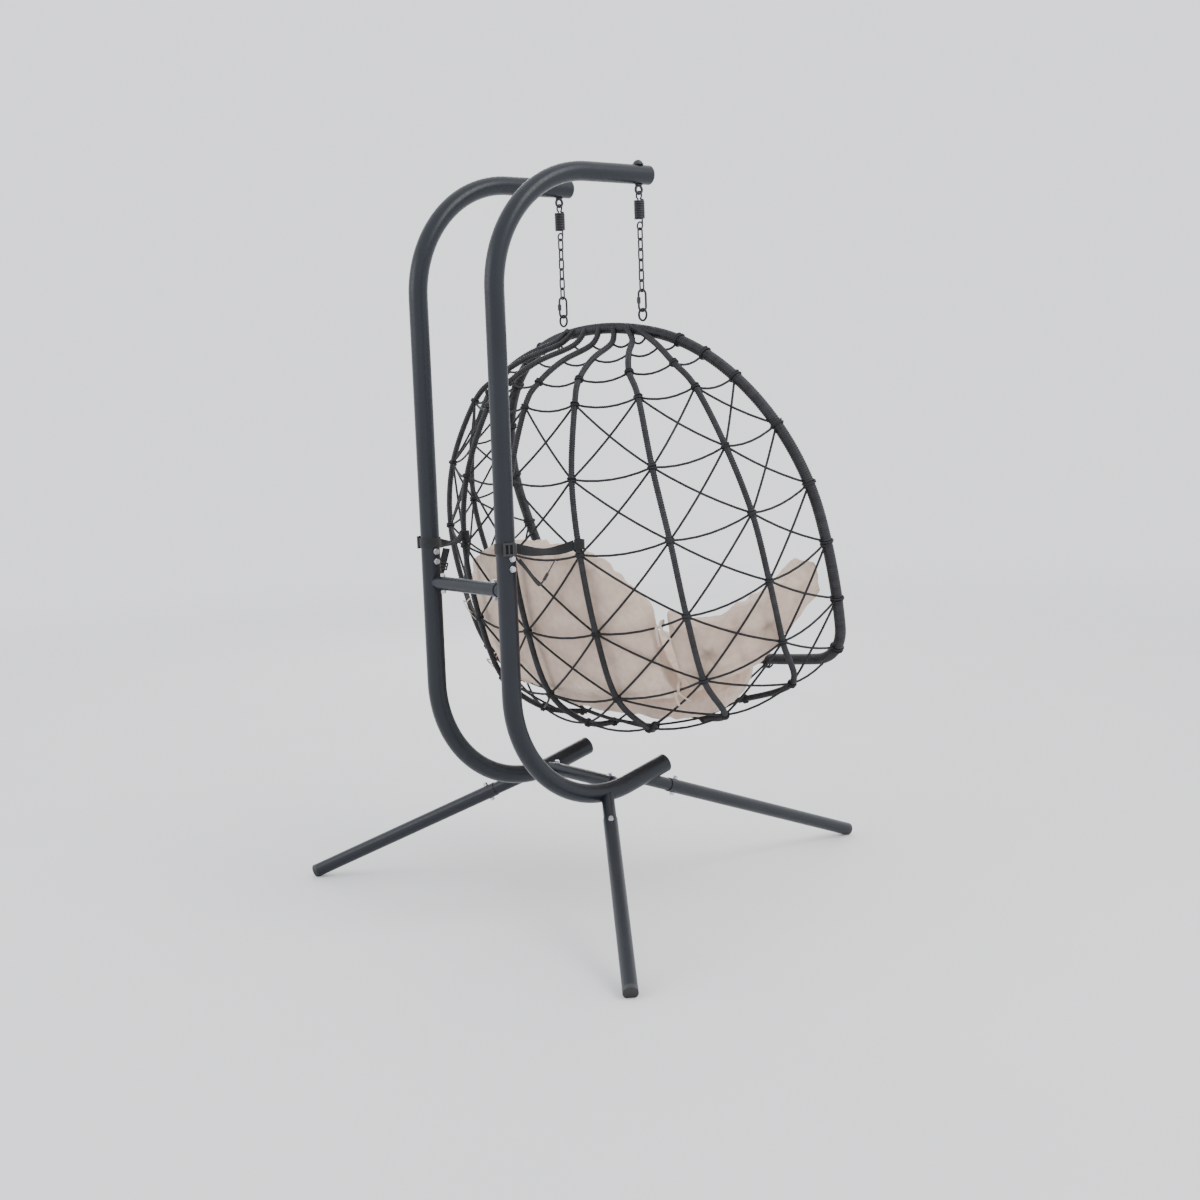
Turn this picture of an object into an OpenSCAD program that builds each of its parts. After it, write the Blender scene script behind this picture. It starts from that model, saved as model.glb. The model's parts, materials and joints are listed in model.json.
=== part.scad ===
// Hanging basket chair for two on a twin-post tubular stand.
// The seat faces -Y, +Z is up and the feet stand on Z = 0.  Millimetres.
// Right and left are those of a person sitting in the chair, so right is -X.

/* [Stand] */
// Height of the two arms that carry the basket, to their centre line
arm_h = 1930; // [1800:10:2100]
// Distance between the centre lines of the two posts
post_gap = 332; // [260:2:420]
// Outside diameter of the post tube
post_d = 50; // [42:1:60]
// Wall of every tube of the stand
wall = 1.8; // [1.4:0.1:2.5]
// Radius of the bends at the top and foot of each post
bend_r = 300; // [240:5:340]
// How far the arms reach in front of the posts
arm_reach = 512; // [480:2:560]
// Height at which the upper post plugs into the lower post
post_joint_h = 1000; // [950:5:1100]

/* [Legs] */
// Outside diameter of the leg tube
leg_d = 38; // [32:1:42]
// Sideways reach of the two rear feet from the middle of the stand
rear_foot_x = 692; // [600:2:760]
// How far the rear feet stand behind the posts
rear_foot_back = 89; // [60:1:160]
// How far the front foot stands in front of the posts
front_foot_reach = 1274; // [1150:2:1350]

/* [Crossbars] */
// Outside diameter of the crossbar sleeves
bar_d = 36; // [32:1:40]
// Height of the upper crossbar
mid_bar_h = 891; // [820:1:930]

/* [Hanging gear] */
// Distance of the hanging points in front of the posts
hang_s = 480; // [460:1:500]
// Outside diameter of the two springs
spring_d = 29; // [26:0.5:32]
// Wire of the springs
spring_wire = 4.6; // [4:0.1:5]
// Number of links in each chain
links = 6; // [4:1:7]

/* [Basket] */
// Lean of the basket's mouth from upright, in degrees
lean = 19.3; // [15:0.1:24]
// Diameter of the wrapped rim
rim_d = 30; // [26:1:34]
// Diameter of the wrapped ribs
rib_d = 17; // [14:1:20]
// Diameter of the net's rope
rope_d = 6.6; // [4:0.2:8]

/* [Cushion] */
// Thickness of the back and side cushions
pad_t = 88; // [70:1:100]
// Thickness of the seat cushion
seat_t = 84; // [70:1:90]

/* [Hidden] */
$fn = 48;

// ---- colours ----
steel_c = [0.16, 0.18, 0.21];
zinc_c = [0.75, 0.76, 0.78];
plastic_c = [0.08, 0.08, 0.09];
rope_c = [0.13, 0.13, 0.14];
cloth_c = [0.80, 0.74, 0.66];
strap_c = [0.05, 0.05, 0.06];

// ---- shared sizes ----
post_x = post_gap / 2;
post_r = post_d / 2;
post_in = post_r - wall;
low_h = 322;                          // lowest point of the posts' centre line
low_turn = 14;                        // how far the foot bend turns past level
low_arm_reach = 505;                  // front end of the foot arms
spigot_r = post_in - 0.05;            // reduced end of the upper post
spigot_l = 90;
leg_r = leg_d / 2;
stub_r = leg_r - wall - 0.05;
foot_z = 19;                          // height of a leg's centre line at its end
front_foot_x = 126;
mid_y = (front_foot_reach - rear_foot_back) / 2 - 2.8;   // origin under the middle

// A place by its distance forward of the posts.
function at(x, s, z) = [x, mid_y - s, z];
function unit(v) = v / norm(v);
function mix(a, b, t) = a + (b - a) * t;

// Where the foot arm's centre line ends its bend, and a place along its straight end.
low_bend_s = bend_r + bend_r * sin(low_turn);
low_bend_z = low_h + bend_r * (1 - cos(low_turn));
function low_arm(s) = [s, low_bend_z + (s - low_bend_s) * tan(low_turn)];

// Leg roots on the posts and feet on the floor.
leg_root = [300, low_h];
front_root = low_arm(414);
function rear_root(side) = at(side * post_x, leg_root[0], leg_root[1]);
function rear_foot(side) = at(side * rear_foot_x, -rear_foot_back, foot_z);
front_root_p = at(-post_x, front_root[0], front_root[1]);
front_foot_p = at(-front_foot_x, front_foot_reach, foot_z);
leg_gap = 115;                        // from the post's centre line to the leg tube
stub_in = 45;                         // how far a stub runs inside its leg

// ---- building blocks ----
// Turns +Z onto the line from a to b, starting at a.
module along(a, b) {
    d = b - a;
    translate(a) rotate([0, acos(d[2] / norm(d)), atan2(d[1], d[0])]) children();
}
module rod(a, b, d) along(a, b) cylinder(h = norm(b - a), d = d);
module pipe(h, r_out, r_in) difference() {
    cylinder(h = h, r = r_out);
    translate([0, 0, -1]) cylinder(h = h + 2, r = r_in);
}
// Quarter or part turn of tube, in the plane of the posts, about a centre.
module bend(s, z, from, turn, r_out, r_in)
    translate(at(0, s, z)) rotate([0, -90, 0]) rotate([0, 0, from])
        rotate_extrude(angle = turn, $fn = 96) translate([bend_r, 0]) difference() {
            circle(r = r_out, $fn = 48);
            circle(r = r_in, $fn = 48);
        }
// Solid tube along a list of points; side is a vector that is never along the line.
// A closed one joins its last point to its first.
module tube_along(path, side, r, n = 8, closed = false) {
    count = len(path);
    last = count - 1;
    rings = [for (i = [0:last])
        let (ahead = closed ? (i + 1) % count : min(i + 1, last),
             behind = closed ? (i + last) % count : max(i - 1, 0),
             t = unit(path[ahead] - path[behind]),
             u = unit(side - (side * t) * t), v = cross(t, u))
        for (k = [0:n - 1]) path[i] + r * (cos(360 * k / n) * u + sin(360 * k / n) * v)];
    walls = [for (i = [0:closed ? last : last - 1], k = [0:n - 1]) let (j = (i + 1) % count)
        [i * n + k, i * n + (k + 1) % n, j * n + (k + 1) % n, j * n + k]];
    ends = closed ? [] : [[for (k = [n - 1:-1:0]) k], [for (k = [0:n - 1]) last * n + k]];
    polyhedron(rings, concat(walls, ends), convexity = 6);
}
// One chain link standing on end, centred, lying in the XZ plane.
module link(inner_l, outer_w, d) {
    r = (outer_w - d) / 2;
    half = inner_l / 2 + d / 2 - r;
    for (m = [0, 1]) mirror([0, 0, m]) translate([0, 0, half]) rotate([90, 0, 0])
        rotate_extrude(angle = 180) translate([r, 0]) circle(d = d, $fn = 24);
    for (x = [-r, r]) translate([x, 0, -half]) cylinder(h = 2 * half, d = d, $fn = 24);
}
// Hexagon bolt with washer and nut through a tube of the given diameter, along +Z.
module cross_bolt(tube_d, d = 8) {
    translate([0, 0, -tube_d / 2 - 9]) cylinder(h = tube_d + 15, d = d - 0.1);
    translate([0, 0, tube_d / 2 + 0.1]) cylinder(h = 1.6, d = d * 2);
    translate([0, 0, tube_d / 2 + 1.7]) cylinder(h = 5.5, d = d * 1.8, $fn = 6);
    translate([0, 0, -tube_d / 2 - 1.7]) cylinder(h = 1.6, d = d * 2);
    translate([0, 0, -tube_d / 2 - 8]) cylinder(h = 6.3, d = d * 1.8, $fn = 6);
}
module bolt_bore(tube_d, d = 8) cylinder(h = tube_d + 40, d = d, center = true, $fn = 24);

// ---- posts ----
post_bolt_z = [post_joint_h - 27, post_joint_h - 53];
module post_bolt_lines(side) for (z = post_bolt_z)
    translate(at(side * post_x, 0, z)) rotate([0, -90, 0]) children();
module mid_bar_line(side) translate(at(side * (post_x - 48), 0, mid_bar_h)) children();
module hang_line(side) translate(at(side * post_x, hang_s, arm_h)) children();
module upper_post(side) color(steel_c) difference() {
    union() {
        translate(at(side * post_x, 0, post_joint_h))
            pipe(arm_h - bend_r - post_joint_h, post_r, post_in);
        translate([side * post_x, 0, 0]) bend(bend_r, arm_h - bend_r, 0, 90, post_r, post_in);
        translate(at(side * post_x, bend_r, arm_h)) rotate([90, 0, 0])
            pipe(arm_reach - bend_r, post_r, post_in);
        translate(at(side * post_x, 0, post_joint_h - spigot_l))
            pipe(spigot_l + 12, spigot_r, spigot_r - wall);
        translate(at(side * post_x, 0, post_joint_h + 0.02))
            pipe(8, post_in + 0.4, spigot_r - 0.5);
    }
    hang_line(side) bolt_bore(post_d, 9);
    post_bolt_lines(side) bolt_bore(post_d);
}
module lower_post(side) color(steel_c) difference() {
    union() {
        translate(at(side * post_x, 0, low_h + bend_r))
            pipe(post_joint_h - low_h - bend_r, post_r, post_in);
        translate([side * post_x, 0, 0])
            bend(bend_r, low_h + bend_r, 90, 90 + low_turn, post_r, post_in);
        translate(at(side * post_x, low_bend_s, low_bend_z)) rotate([90 - low_turn, 0, 0])
            pipe((low_arm_reach - low_bend_s) / cos(low_turn), post_r, post_in);
        weld_stub(rear_root(side), rear_foot(side));
        if (side < 0) weld_stub(front_root_p, front_foot_p);
        bar_stub(side, 0, mid_bar_h);
        bar_stub(side, low_bar_s, low_bar_z);
    }
    post_bolt_lines(side) bolt_bore(post_d);
    leg_bolt_line(rear_root(side), rear_foot(side)) bolt_bore(leg_d, 7);
    if (side < 0) leg_bolt_line(front_root_p, front_foot_p) bolt_bore(leg_d, 7);
    bar_bolt_line(side, 0, mid_bar_h) bolt_bore(bar_d, 7);
    bar_bolt_line(side, low_bar_s, low_bar_z) bolt_bore(bar_d, 7);
}
// Stub welded to a post, pointing at a foot, hollow outside the post.
module weld_stub(root, foot) along(root, foot) difference() {
    cylinder(h = leg_gap + stub_in, r = stub_r);
    translate([0, 0, post_r + 30]) cylinder(h = leg_gap + stub_in, r = stub_r - wall);
}
module leg_bolt_line(root, foot) along(root, foot)
    translate([0, 0, leg_gap + stub_in / 2]) rotate([0, 90, 0]) children();
// Stubs for the crossbars.
low_bar_s = 355;
low_bar_z = 330;
bar_stub_r = bar_d / 2 - wall - 0.05;
bar_stub_l = 62;
module bar_stub(side, s, z) translate(at(side * post_x, s, z)) rotate([0, -side * 90, 0])
    difference() {
        cylinder(h = bar_stub_l, r = bar_stub_r);
        translate([0, 0, post_r + 8]) cylinder(h = bar_stub_l, r = bar_stub_r - wall);
    }
module bar_bolt_line(side, s, z) translate(at(side * (post_x - bar_stub_l + 10), s, z))
    children();
module crossbar(s, z) color(steel_c) difference() {
    translate(at(-(post_x - 38), s, z)) rotate([0, 90, 0])
        pipe(2 * (post_x - 38), bar_d / 2, bar_d / 2 - wall);
    for (side = [-1, 1]) bar_bolt_line(side, s, z) bolt_bore(bar_d, 7);
}
module cap(d, bore_r) {
    cylinder(h = 3.2, d = d);
    translate([0, 0, -16]) cylinder(h = 16.1, r = bore_r - 0.02);
}
module arm_caps() color(plastic_c) for (side = [-1, 1])
    translate(at(side * post_x, arm_reach, arm_h)) rotate([90, 0, 0]) cap(post_d, post_in);
module foot_arm_caps() color(plastic_c) for (side = [-1, 1])
    translate(at(side * post_x, low_arm_reach, low_arm(low_arm_reach)[1]))
        rotate([90 - low_turn, 0, 0]) cap(post_d, post_in);
module post_bolts() color(zinc_c) for (side = [-1, 1]) post_bolt_lines(side) cross_bolt(post_d);
module crossbar_bolts() color(zinc_c) for (side = [-1, 1]) {
    bar_bolt_line(side, 0, mid_bar_h) cross_bolt(bar_d, 7);
    bar_bolt_line(side, low_bar_s, low_bar_z) cross_bolt(bar_d, 7);
}

// ---- legs and feet ----
module leg(root, foot) color(steel_c) difference() {
    along(root, foot) translate([0, 0, leg_gap])
        pipe(norm(foot - root) - leg_gap, leg_r, leg_r - wall);
    leg_bolt_line(root, foot) bolt_bore(leg_d, 7);
}
module leg_bolts() color(zinc_c) {
    for (side = [-1, 1]) leg_bolt_line(rear_root(side), rear_foot(side)) cross_bolt(leg_d, 7);
    leg_bolt_line(front_root_p, front_foot_p) cross_bolt(leg_d, 7);
}
// Plug in a leg's end, with a flat sole on the floor.
foot_nose = 12;                        // how far the plug stands out of the tube
module foot_plug(root, foot) color(plastic_c) intersection() {
    along(root, foot) translate([0, 0, norm(foot - root)]) {
        translate([0, 0, 0.05]) cylinder(h = foot_nose, r = leg_r);
        translate([0, 0, -24]) cylinder(h = 30, r = leg_r - wall - 0.05);
    }
    translate([foot[0], foot[1], 200]) cube([300, 300, 400], center = true);
}

// ---- hanging gear, from the arm down ----
eye_wire = 7;
eye_r = 10.5;
eye_z = arm_h - post_r - 3 - eye_r;                       // centre of the eye
swing_z = eye_z - eye_r + eye_wire / 2;                   // where the spring's hook bears
hook_r = 10;
hook_z = swing_z + 0.3 + spring_wire / 2 - hook_r;        // centre of the upper hook loop
coil_top = hook_z - hook_r + 1;
coil_l = 54;
coil_bottom = coil_top - coil_l;
low_hook_l = 24;                                          // inside length of the lower hook
low_hook_z = coil_bottom - low_hook_l / 2 + 1.5;
link_wire = 4.5;
link_l = 26.7;
link_w = 18.5;
link_pitch = link_l - 0.2;
link1_z = low_hook_z - low_hook_l / 2 + 0.2 - link_l / 2;
quick_wire = 6;
quick_l = 50;
quick_w = 31;
quick_z = link1_z - (links - 1) * link_pitch - link_l / 2 + 0.2 - quick_l / 2;
ring_wire = 6;
ring_r = 15;
tilt_z = quick_z - quick_l / 2;                           // where the ring bears on the link
ring_z = tilt_z + 0.2 + ring_wire / 2 - ring_r;
bar_z = ring_z - ring_r - rim_d / 2 + 2;                  // centre line of the rim's top bar
lift = round((bar_z - 1543) * 100) / 100;                 // the basket goes up and down with the bar
module hung(side, z) translate(at(side * post_x, hang_s, z)) children();
module hanger_eye(side) color(zinc_c) {
    hung(side, eye_z) rotate([0, 90, 0]) rotate_extrude() translate([eye_r, 0])
        circle(d = eye_wire, $fn = 24);
    hung(side, eye_z + eye_r) cylinder(h = arm_h + post_r - eye_z - eye_r + 9, d = 8);
    hung(side, arm_h - post_r - 2.6) cylinder(h = 2.4, d = 20);
}
module hanger_cap_nuts() color(plastic_c) for (side = [-1, 1])
    hung(side, arm_h + post_r + 0.2) difference() {
        union() {
            cylinder(h = 2.5, d = 30);
            translate([0, 0, 2.5]) intersection() {
                translate([0, 0, -3.45]) sphere(r = 13.45);
                cylinder(h = 12, r = 14);
            }
        }
        translate([0, 0, -1]) cylinder(h = 11.2, d = 8.04);
    }
turns = floor(coil_l / (spring_wire + 0.3));
// The coil stays closed at rest, so it is made as a sleeve with one ridge for each turn.
module spring(side) color(steel_c) {
    pitch = coil_l / turns;
    ridges = [for (i = [0:turns], part = [0, 0.3, 0.7]) if (i < turns || part == 0)
        [spring_d / 2 - (part == 0 ? 1.5 : 0), (i + part) * pitch]];
    hung(side, coil_bottom) rotate_extrude()
        polygon(concat([[spring_d / 2 - spring_wire, 0]], ridges,
            [[spring_d / 2 - spring_wire, coil_l]]));
    hung(side, (hook_z + hook_r + coil_top - hook_sunk) / 2)
        link(hook_z + hook_r - coil_top + hook_sunk - spring_wire, 2 * hook_r + spring_wire,
            spring_wire);
    hung(side, low_hook_z + hook_sunk / 2)
        link(low_hook_l + hook_sunk, 2 * hook_r + spring_wire, spring_wire);
}
hook_sunk = 9;                         // how far each hook runs inside the coil
module chain(side) color(zinc_c) for (i = [0:links - 1])
    hung(side, link1_z - i * link_pitch) rotate([0, 0, i % 2 == 0 ? 90 : 0])
        link(link_l, link_w, link_wire);
module quick_link(side) color(zinc_c) hung(side, quick_z) rotate([0, 0, 90])
    link(quick_l, quick_w, quick_wire);
module link_nut(side) color(zinc_c) hung(side, quick_z - 8) rotate([0, 0, 90])
    translate([(quick_w - quick_wire) / 2, 0, 0])
        difference() {
            cylinder(h = 16, d = 11, $fn = 6);
            translate([0, 0, -1]) cylinder(h = 18, d = quick_wire + 0.04);
        }
module basket_ring(side) color(steel_c) hung(side, ring_z) rotate([90, 0, 0])
    rotate_extrude() translate([ring_r, 0]) circle(d = ring_wire, $fn = 24);

// ---- rim: tangent arcs in a plane that leans forward at the foot ----
// Each arc is [radius, turn]; the last radius closes the outline on its middle line.
side_arcs = [[1000, 12], [520, 78], [1500, 12], [140, 70]];
function arc_heading(k) = k == 0 ? 0 : arc_heading(k - 1) + side_arcs[k - 1][1];
function arc_start(k) = k == 0 ? [0, 0]
    : let (h = arc_heading(k - 1), r = side_arcs[k - 1][0], e = arc_heading(k))
      arc_start(k - 1) + r * [sin(e) - sin(h), cos(h) - cos(e)];
last_turn = 180 - arc_heading(4);
last_r = arc_start(4)[0] / sin(last_turn);
rim_arcs = concat(side_arcs, [[last_r, last_turn]]);
// A place in the rim's plane: x across, q down the slope.
function rim_at(x, q) = at(x, hang_s + q * sin(lean), bar_z - q * cos(lean));
// Half width of the rim at a height, from the arc that passes there.
function rim_half(z) = let (q = (bar_z - z) / cos(lean),
        k = max([for (i = [0:4]) arc_start(i)[1] <= q + 0.001 ? i : 0]),
        h = arc_heading(k), r = rim_arcs[k][0], c = arc_start(k) + r * [-sin(h), cos(h)])
    c[0] + sqrt(max(0, r * r - pow(q - c[1], 2)));
// The rim's outline from the middle of the top bar down one side; each arc is cut in steps.
arc_steps = [3, 14, 5, 7, 5];
function arc_point(k, t) = let (h = arc_heading(k), e = h + rim_arcs[k][1] * t)
    arc_start(k) + rim_arcs[k][0] * [sin(e) - sin(h), cos(h) - cos(e)];
half_rim = [for (k = [0:4], i = [0:arc_steps[k] - 1]) arc_point(k, i / arc_steps[k])];
module basket_rim() color(rope_c) {
    last = len(half_rim) - 1;
    front = arc_point(4, 1);
    outline = concat(half_rim, [front],
        [for (i = [last:-1:1]) [-half_rim[i][0], half_rim[i][1]]]);
    tube_along([for (p = outline) rim_at(p[0], p[1])],
        [0, cos(lean), sin(lean)], rim_d / 2, 12, true);
}

// ---- basket surface ----
// Each level is [height at the rim, height at the middle of the back, its distance
// in front of the posts].  Ribs cross every level and the net is knotted on them.
levels = [[1524, 1500, 440], [1500, 1458, 336], [1463, 1405, 256], [1402, 1342, 206],
          [1280, 1152, 148], [1129, 961, 144], [978, 752, 184], [826, 573, 252],
          [687, 474, 380]];
rib_turn = [90, 71.9, 47, 20.4, 0, -20.4, -47, -71.9, -90];   // right rim to left rim
roundness = 0.85;
function across(a) = sign(sin(a)) * pow(abs(sin(a)), roundness);
function back(a) = pow(max(0, cos(a)), roundness);
// A place on the basket at an angle round it and a level, which may lie between two.
function level(t) = let (i = min(floor(t), len(levels) - 2)) mix(levels[i], levels[i + 1], t - i);
function wall_at(a, t) = let (v = level(t) + [lift, lift, 0], z = v[0], s = hang_s + (bar_z - z) * tan(lean))
    at(-rim_half(z) * across(a), mix(s, v[2], back(a)), mix(z, v[1], back(a)));
function curve_point(p, i, t) = let (a = p[max(i - 1, 0)], b = p[i], c = p[i + 1],
        d = p[min(i + 2, len(p) - 1)])
    0.5 * (2 * b + (c - a) * t + (2 * a - 5 * b + 4 * c - d) * t * t
        + (3 * b - a - 3 * c + d) * t * t * t);
function curve(p, n) = concat([for (i = [0:len(p) - 2], k = [0:n - 1]) curve_point(p, i, k / n)],
    [p[len(p) - 1]]);
// Where a rib leaves the top bar, and where it ends under the seat.
function rib_top(a) = at(-0.86 * post_x * across(a), hang_s - rim_d / 3, bar_z);
function rib_end(a) = at(-360 * across(a), mix(700, 484, back(a)), mix(590, 462, back(a)) + lift);
function rib_path(i) = let (a = rib_turn[i])
    concat([rib_top(a)], [for (t = [0:len(levels) - 1]) wall_at(a, t)], [rib_end(a)]);
module rib(i) color(rope_c) {
    path = curve(rib_path(i), 3);
    tube_along(path, [cos(rib_turn[i]), -sin(rib_turn[i]), 0.01], rib_d / 2, 8);
}
function knot(i, t) = wall_at(rib_turn[i], t);

// ---- net: one bay between each pair of neighbours, rim to rib or rib to rib ----
sag = 13;
first_star = 3;                        // diagonals start at this level
module rope(a, b) rod(a, b, rope_d, $fn = 6);
module net_bay(i) color(rope_c) {
    for (t = [0:len(levels) - 1]) {
        a = knot(i, t);
        b = knot(i + 1, t);
        m = (a + b) / 2 - [0, 0, sag];
        rod(a, m, rope_d, $fn = 6);
        rod(m, b, rope_d, $fn = 6);
    }
    for (t = [first_star:len(levels) - 2]) {
        rod(knot(i, t), knot(i + 1, t + 1), rope_d, $fn = 6);
        rod(knot(i + 1, t), knot(i, t + 1), rope_d, $fn = 6);
    }
}
// Ropes under the seat: straight across between rib ends, and forward to the rim.
module seat_net() color(rope_c) {
    front_q = arc_start(4)[1] + last_r * (1 - cos(last_turn));
    ends = [for (i = [1:7]) rib_end(rib_turn[i])];
    for (i = [0:5]) rod(ends[i], ends[i + 1], rope_d, $fn = 6);
    for (i = [0:2]) rod(ends[i], ends[6 - i], rope_d, $fn = 6);
    for (i = [1:5]) rod(ends[i], rim_at(ends[i][0], front_q - 3), rope_d, $fn = 6);
}

// ---- cushions: plain solids a little inside the net ----
bowl = at(0, 620, 1010 + lift);
inset = 24.9;
function inside(p, d) = p + d * unit(bowl - p);
module pad(a0, a1, tops, lows, off) {
    n = 6;
    m = 5;
    cell = (n + 1) * (m + 1);
    pts = [for (layer = [0, 1], j = [0:m], i = [0:n])
        inside(wall_at(mix(a0, a1, i / n), mix(tops[i], lows[i], j / m)),
            off + layer * pad_t)];
    function q(layer, i, j) = layer * cell + j * (n + 1) + i;
    faces = concat(
        [for (j = [0:m - 1], i = [0:n - 1], f = [0, 1])
            f == 0 ? [q(0, i, j), q(0, i + 1, j), q(0, i + 1, j + 1)]
                   : [q(0, i, j), q(0, i + 1, j + 1), q(0, i, j + 1)]],
        [for (j = [0:m - 1], i = [0:n - 1], f = [0, 1])
            f == 0 ? [q(1, i, j), q(1, i + 1, j + 1), q(1, i + 1, j)]
                   : [q(1, i, j), q(1, i, j + 1), q(1, i + 1, j + 1)]],
        [for (i = [0:n - 1], f = [0, 1])
            f == 0 ? [q(0, i, 0), q(1, i, 0), q(1, i + 1, 0)]
                   : [q(0, i, 0), q(1, i + 1, 0), q(0, i + 1, 0)]],
        [for (i = [0:n - 1], f = [0, 1])
            f == 0 ? [q(0, i, m), q(0, i + 1, m), q(1, i + 1, m)]
                   : [q(0, i, m), q(1, i + 1, m), q(1, i, m)]],
        [for (j = [0:m - 1], f = [0, 1])
            f == 0 ? [q(0, 0, j), q(0, 0, j + 1), q(1, 0, j + 1)]
                   : [q(0, 0, j), q(1, 0, j + 1), q(1, 0, j)]],
        [for (j = [0:m - 1], f = [0, 1])
            f == 0 ? [q(0, n, j), q(1, n, j), q(1, n, j + 1)]
                   : [q(0, n, j), q(1, n, j + 1), q(0, n, j + 1)]]);
    color(cloth_c) polyhedron(pts, faces, convexity = 6);
}
back_inset = 20.6;
side_split = 39.5;                     // angle of the crease between back and side pads
function flip(v) = [for (i = [len(v) - 1:-1:0]) v[i]];
back_tops = [5.95, 5.15, 4.85, 4.8, 4.85, 5.15, 5.95];
back_lows = [7.5, 7.5, 7.5, 7.5, 7.5, 7.5, 7.5];
side_tops = [6.3, 6.35, 6.35, 6.35, 6.35, 6.3, 6.1];      // from the rim to the crease
side_lows = [6.9, 7.1, 7.3, 7.5, 7.5, 7.5, 7.5];
module back_cushion() pad(side_split - 1, 1 - side_split, back_tops, back_lows, back_inset);
module side_cushion(side) if (side < 0) pad(89.5, side_split + 1, side_tops, side_lows, inset);
    else pad(-side_split - 1, -89.5, flip(side_tops), flip(side_lows), inset);
module seat_cushion() color(cloth_c) {
    half_w = 360;
    deep = 165;
    outline = [for (k = [0:35]) [half_w * sign(cos(k * 10)) * pow(abs(cos(k * 10)), 0.8),
        deep * sign(sin(k * 10)) * pow(abs(sin(k * 10)), 0.8)]];
    translate(at(0, 593.8, 550.2 + lift)) rotate([-26, 0, 0])
        linear_extrude(height = seat_t, scale = [1.22, 1.12]) polygon(outline);
}

// ---- straps from the posts to the basket's back ribs ----
strap_w = 25;
strap_t = 2;
strap_gap = 5;                         // clear of the rib that the strap is tied to
tie_rib = 3;
tie_level = 4.93;
tie_at = knot(tie_rib, tie_level);
strap_h = tie_at[2] - strap_w / 2 + 14;
module strap(side) color(strap_c) translate([0, 0, strap_h]) linear_extrude(height = strap_w) {
    post = [side * post_x, mid_y];
    rib = [-side * tie_at[0], tie_at[1]];
    reach = norm(rib - post) - rib_d / 2 - strap_gap;
    translate(post) {
        difference() {
            circle(r = post_r + 0.3 + strap_t);
            circle(r = post_r + 0.3);
        }
        rotate([0, 0, atan2(rib[1] - post[1], rib[0] - post[0])])
            translate([post_r + 1.3, -strap_t]) square([reach - post_r - 1.3, 2 * strap_t]);
    }
}
module buckle(side) color(plastic_c)
    translate([side * post_x, mid_y, strap_h - 4]) rotate([0, 0, side < 0 ? 160 : 20])
        translate([post_r + strap_t + 0.6, -14, 0]) difference() {
            cube([5, 28, strap_w + 8]);
            for (y = [5, 16]) translate([-1, y, 5]) cube([7, 7, strap_w - 2]);
        }

upper_post(-1);  // right_upper_post
upper_post(1);  // left_upper_post
lower_post(-1);  // right_lower_post
lower_post(1);  // left_lower_post
arm_caps();
foot_arm_caps();
post_bolts();
crossbar(0, mid_bar_h);  // mid_crossbar
crossbar(low_bar_s, low_bar_z);  // lower_crossbar
crossbar_bolts();
leg(rear_root(-1), rear_foot(-1));  // right_rear_leg
leg(rear_root(1), rear_foot(1));  // left_rear_leg
leg(front_root_p, front_foot_p);  // front_leg
leg_bolts();
foot_plug(rear_root(-1), rear_foot(-1));  // right_rear_foot
foot_plug(rear_root(1), rear_foot(1));  // left_rear_foot
foot_plug(front_root_p, front_foot_p);  // front_foot
hanger_eye(-1);  // right_hanger_eye
hanger_eye(1);  // left_hanger_eye
hanger_cap_nuts();
spring(-1);  // right_spring
spring(1);  // left_spring
chain(-1);  // right_chain
chain(1);  // left_chain
quick_link(-1);  // right_quick_link
quick_link(1);  // left_quick_link
link_nut(-1);  // right_link_nut
link_nut(1);  // left_link_nut
basket_ring(-1);  // right_basket_ring
basket_ring(1);  // left_basket_ring
basket_rim();
rib(1);  // rib_1
rib(2);  // rib_2
rib(3);  // rib_3
rib(4);  // rib_4
rib(5);  // rib_5
rib(6);  // rib_6
rib(7);  // rib_7
net_bay(0);  // net_bay_1
net_bay(1);  // net_bay_2
net_bay(2);  // net_bay_3
net_bay(3);  // net_bay_4
net_bay(4);  // net_bay_5
net_bay(5);  // net_bay_6
net_bay(6);  // net_bay_7
net_bay(7);  // net_bay_8
seat_net();
seat_cushion();
back_cushion();
side_cushion(-1);  // right_side_cushion
side_cushion(1);  // left_side_cushion
strap(-1);  // right_strap
strap(1);  // left_strap
buckle(-1);  // right_buckle
buckle(1);  // left_buckle
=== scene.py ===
"""Looks of a hanging basket chair for two on a twin-post stand.

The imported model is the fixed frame.  Metres, +Z up, the seat faces -Y, right is -X.
"""
import json
import math

import bmesh
import bpy
import numpy as np
from mathutils import Matrix, Vector, noise
from mathutils.bvhtree import BVHTree


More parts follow.
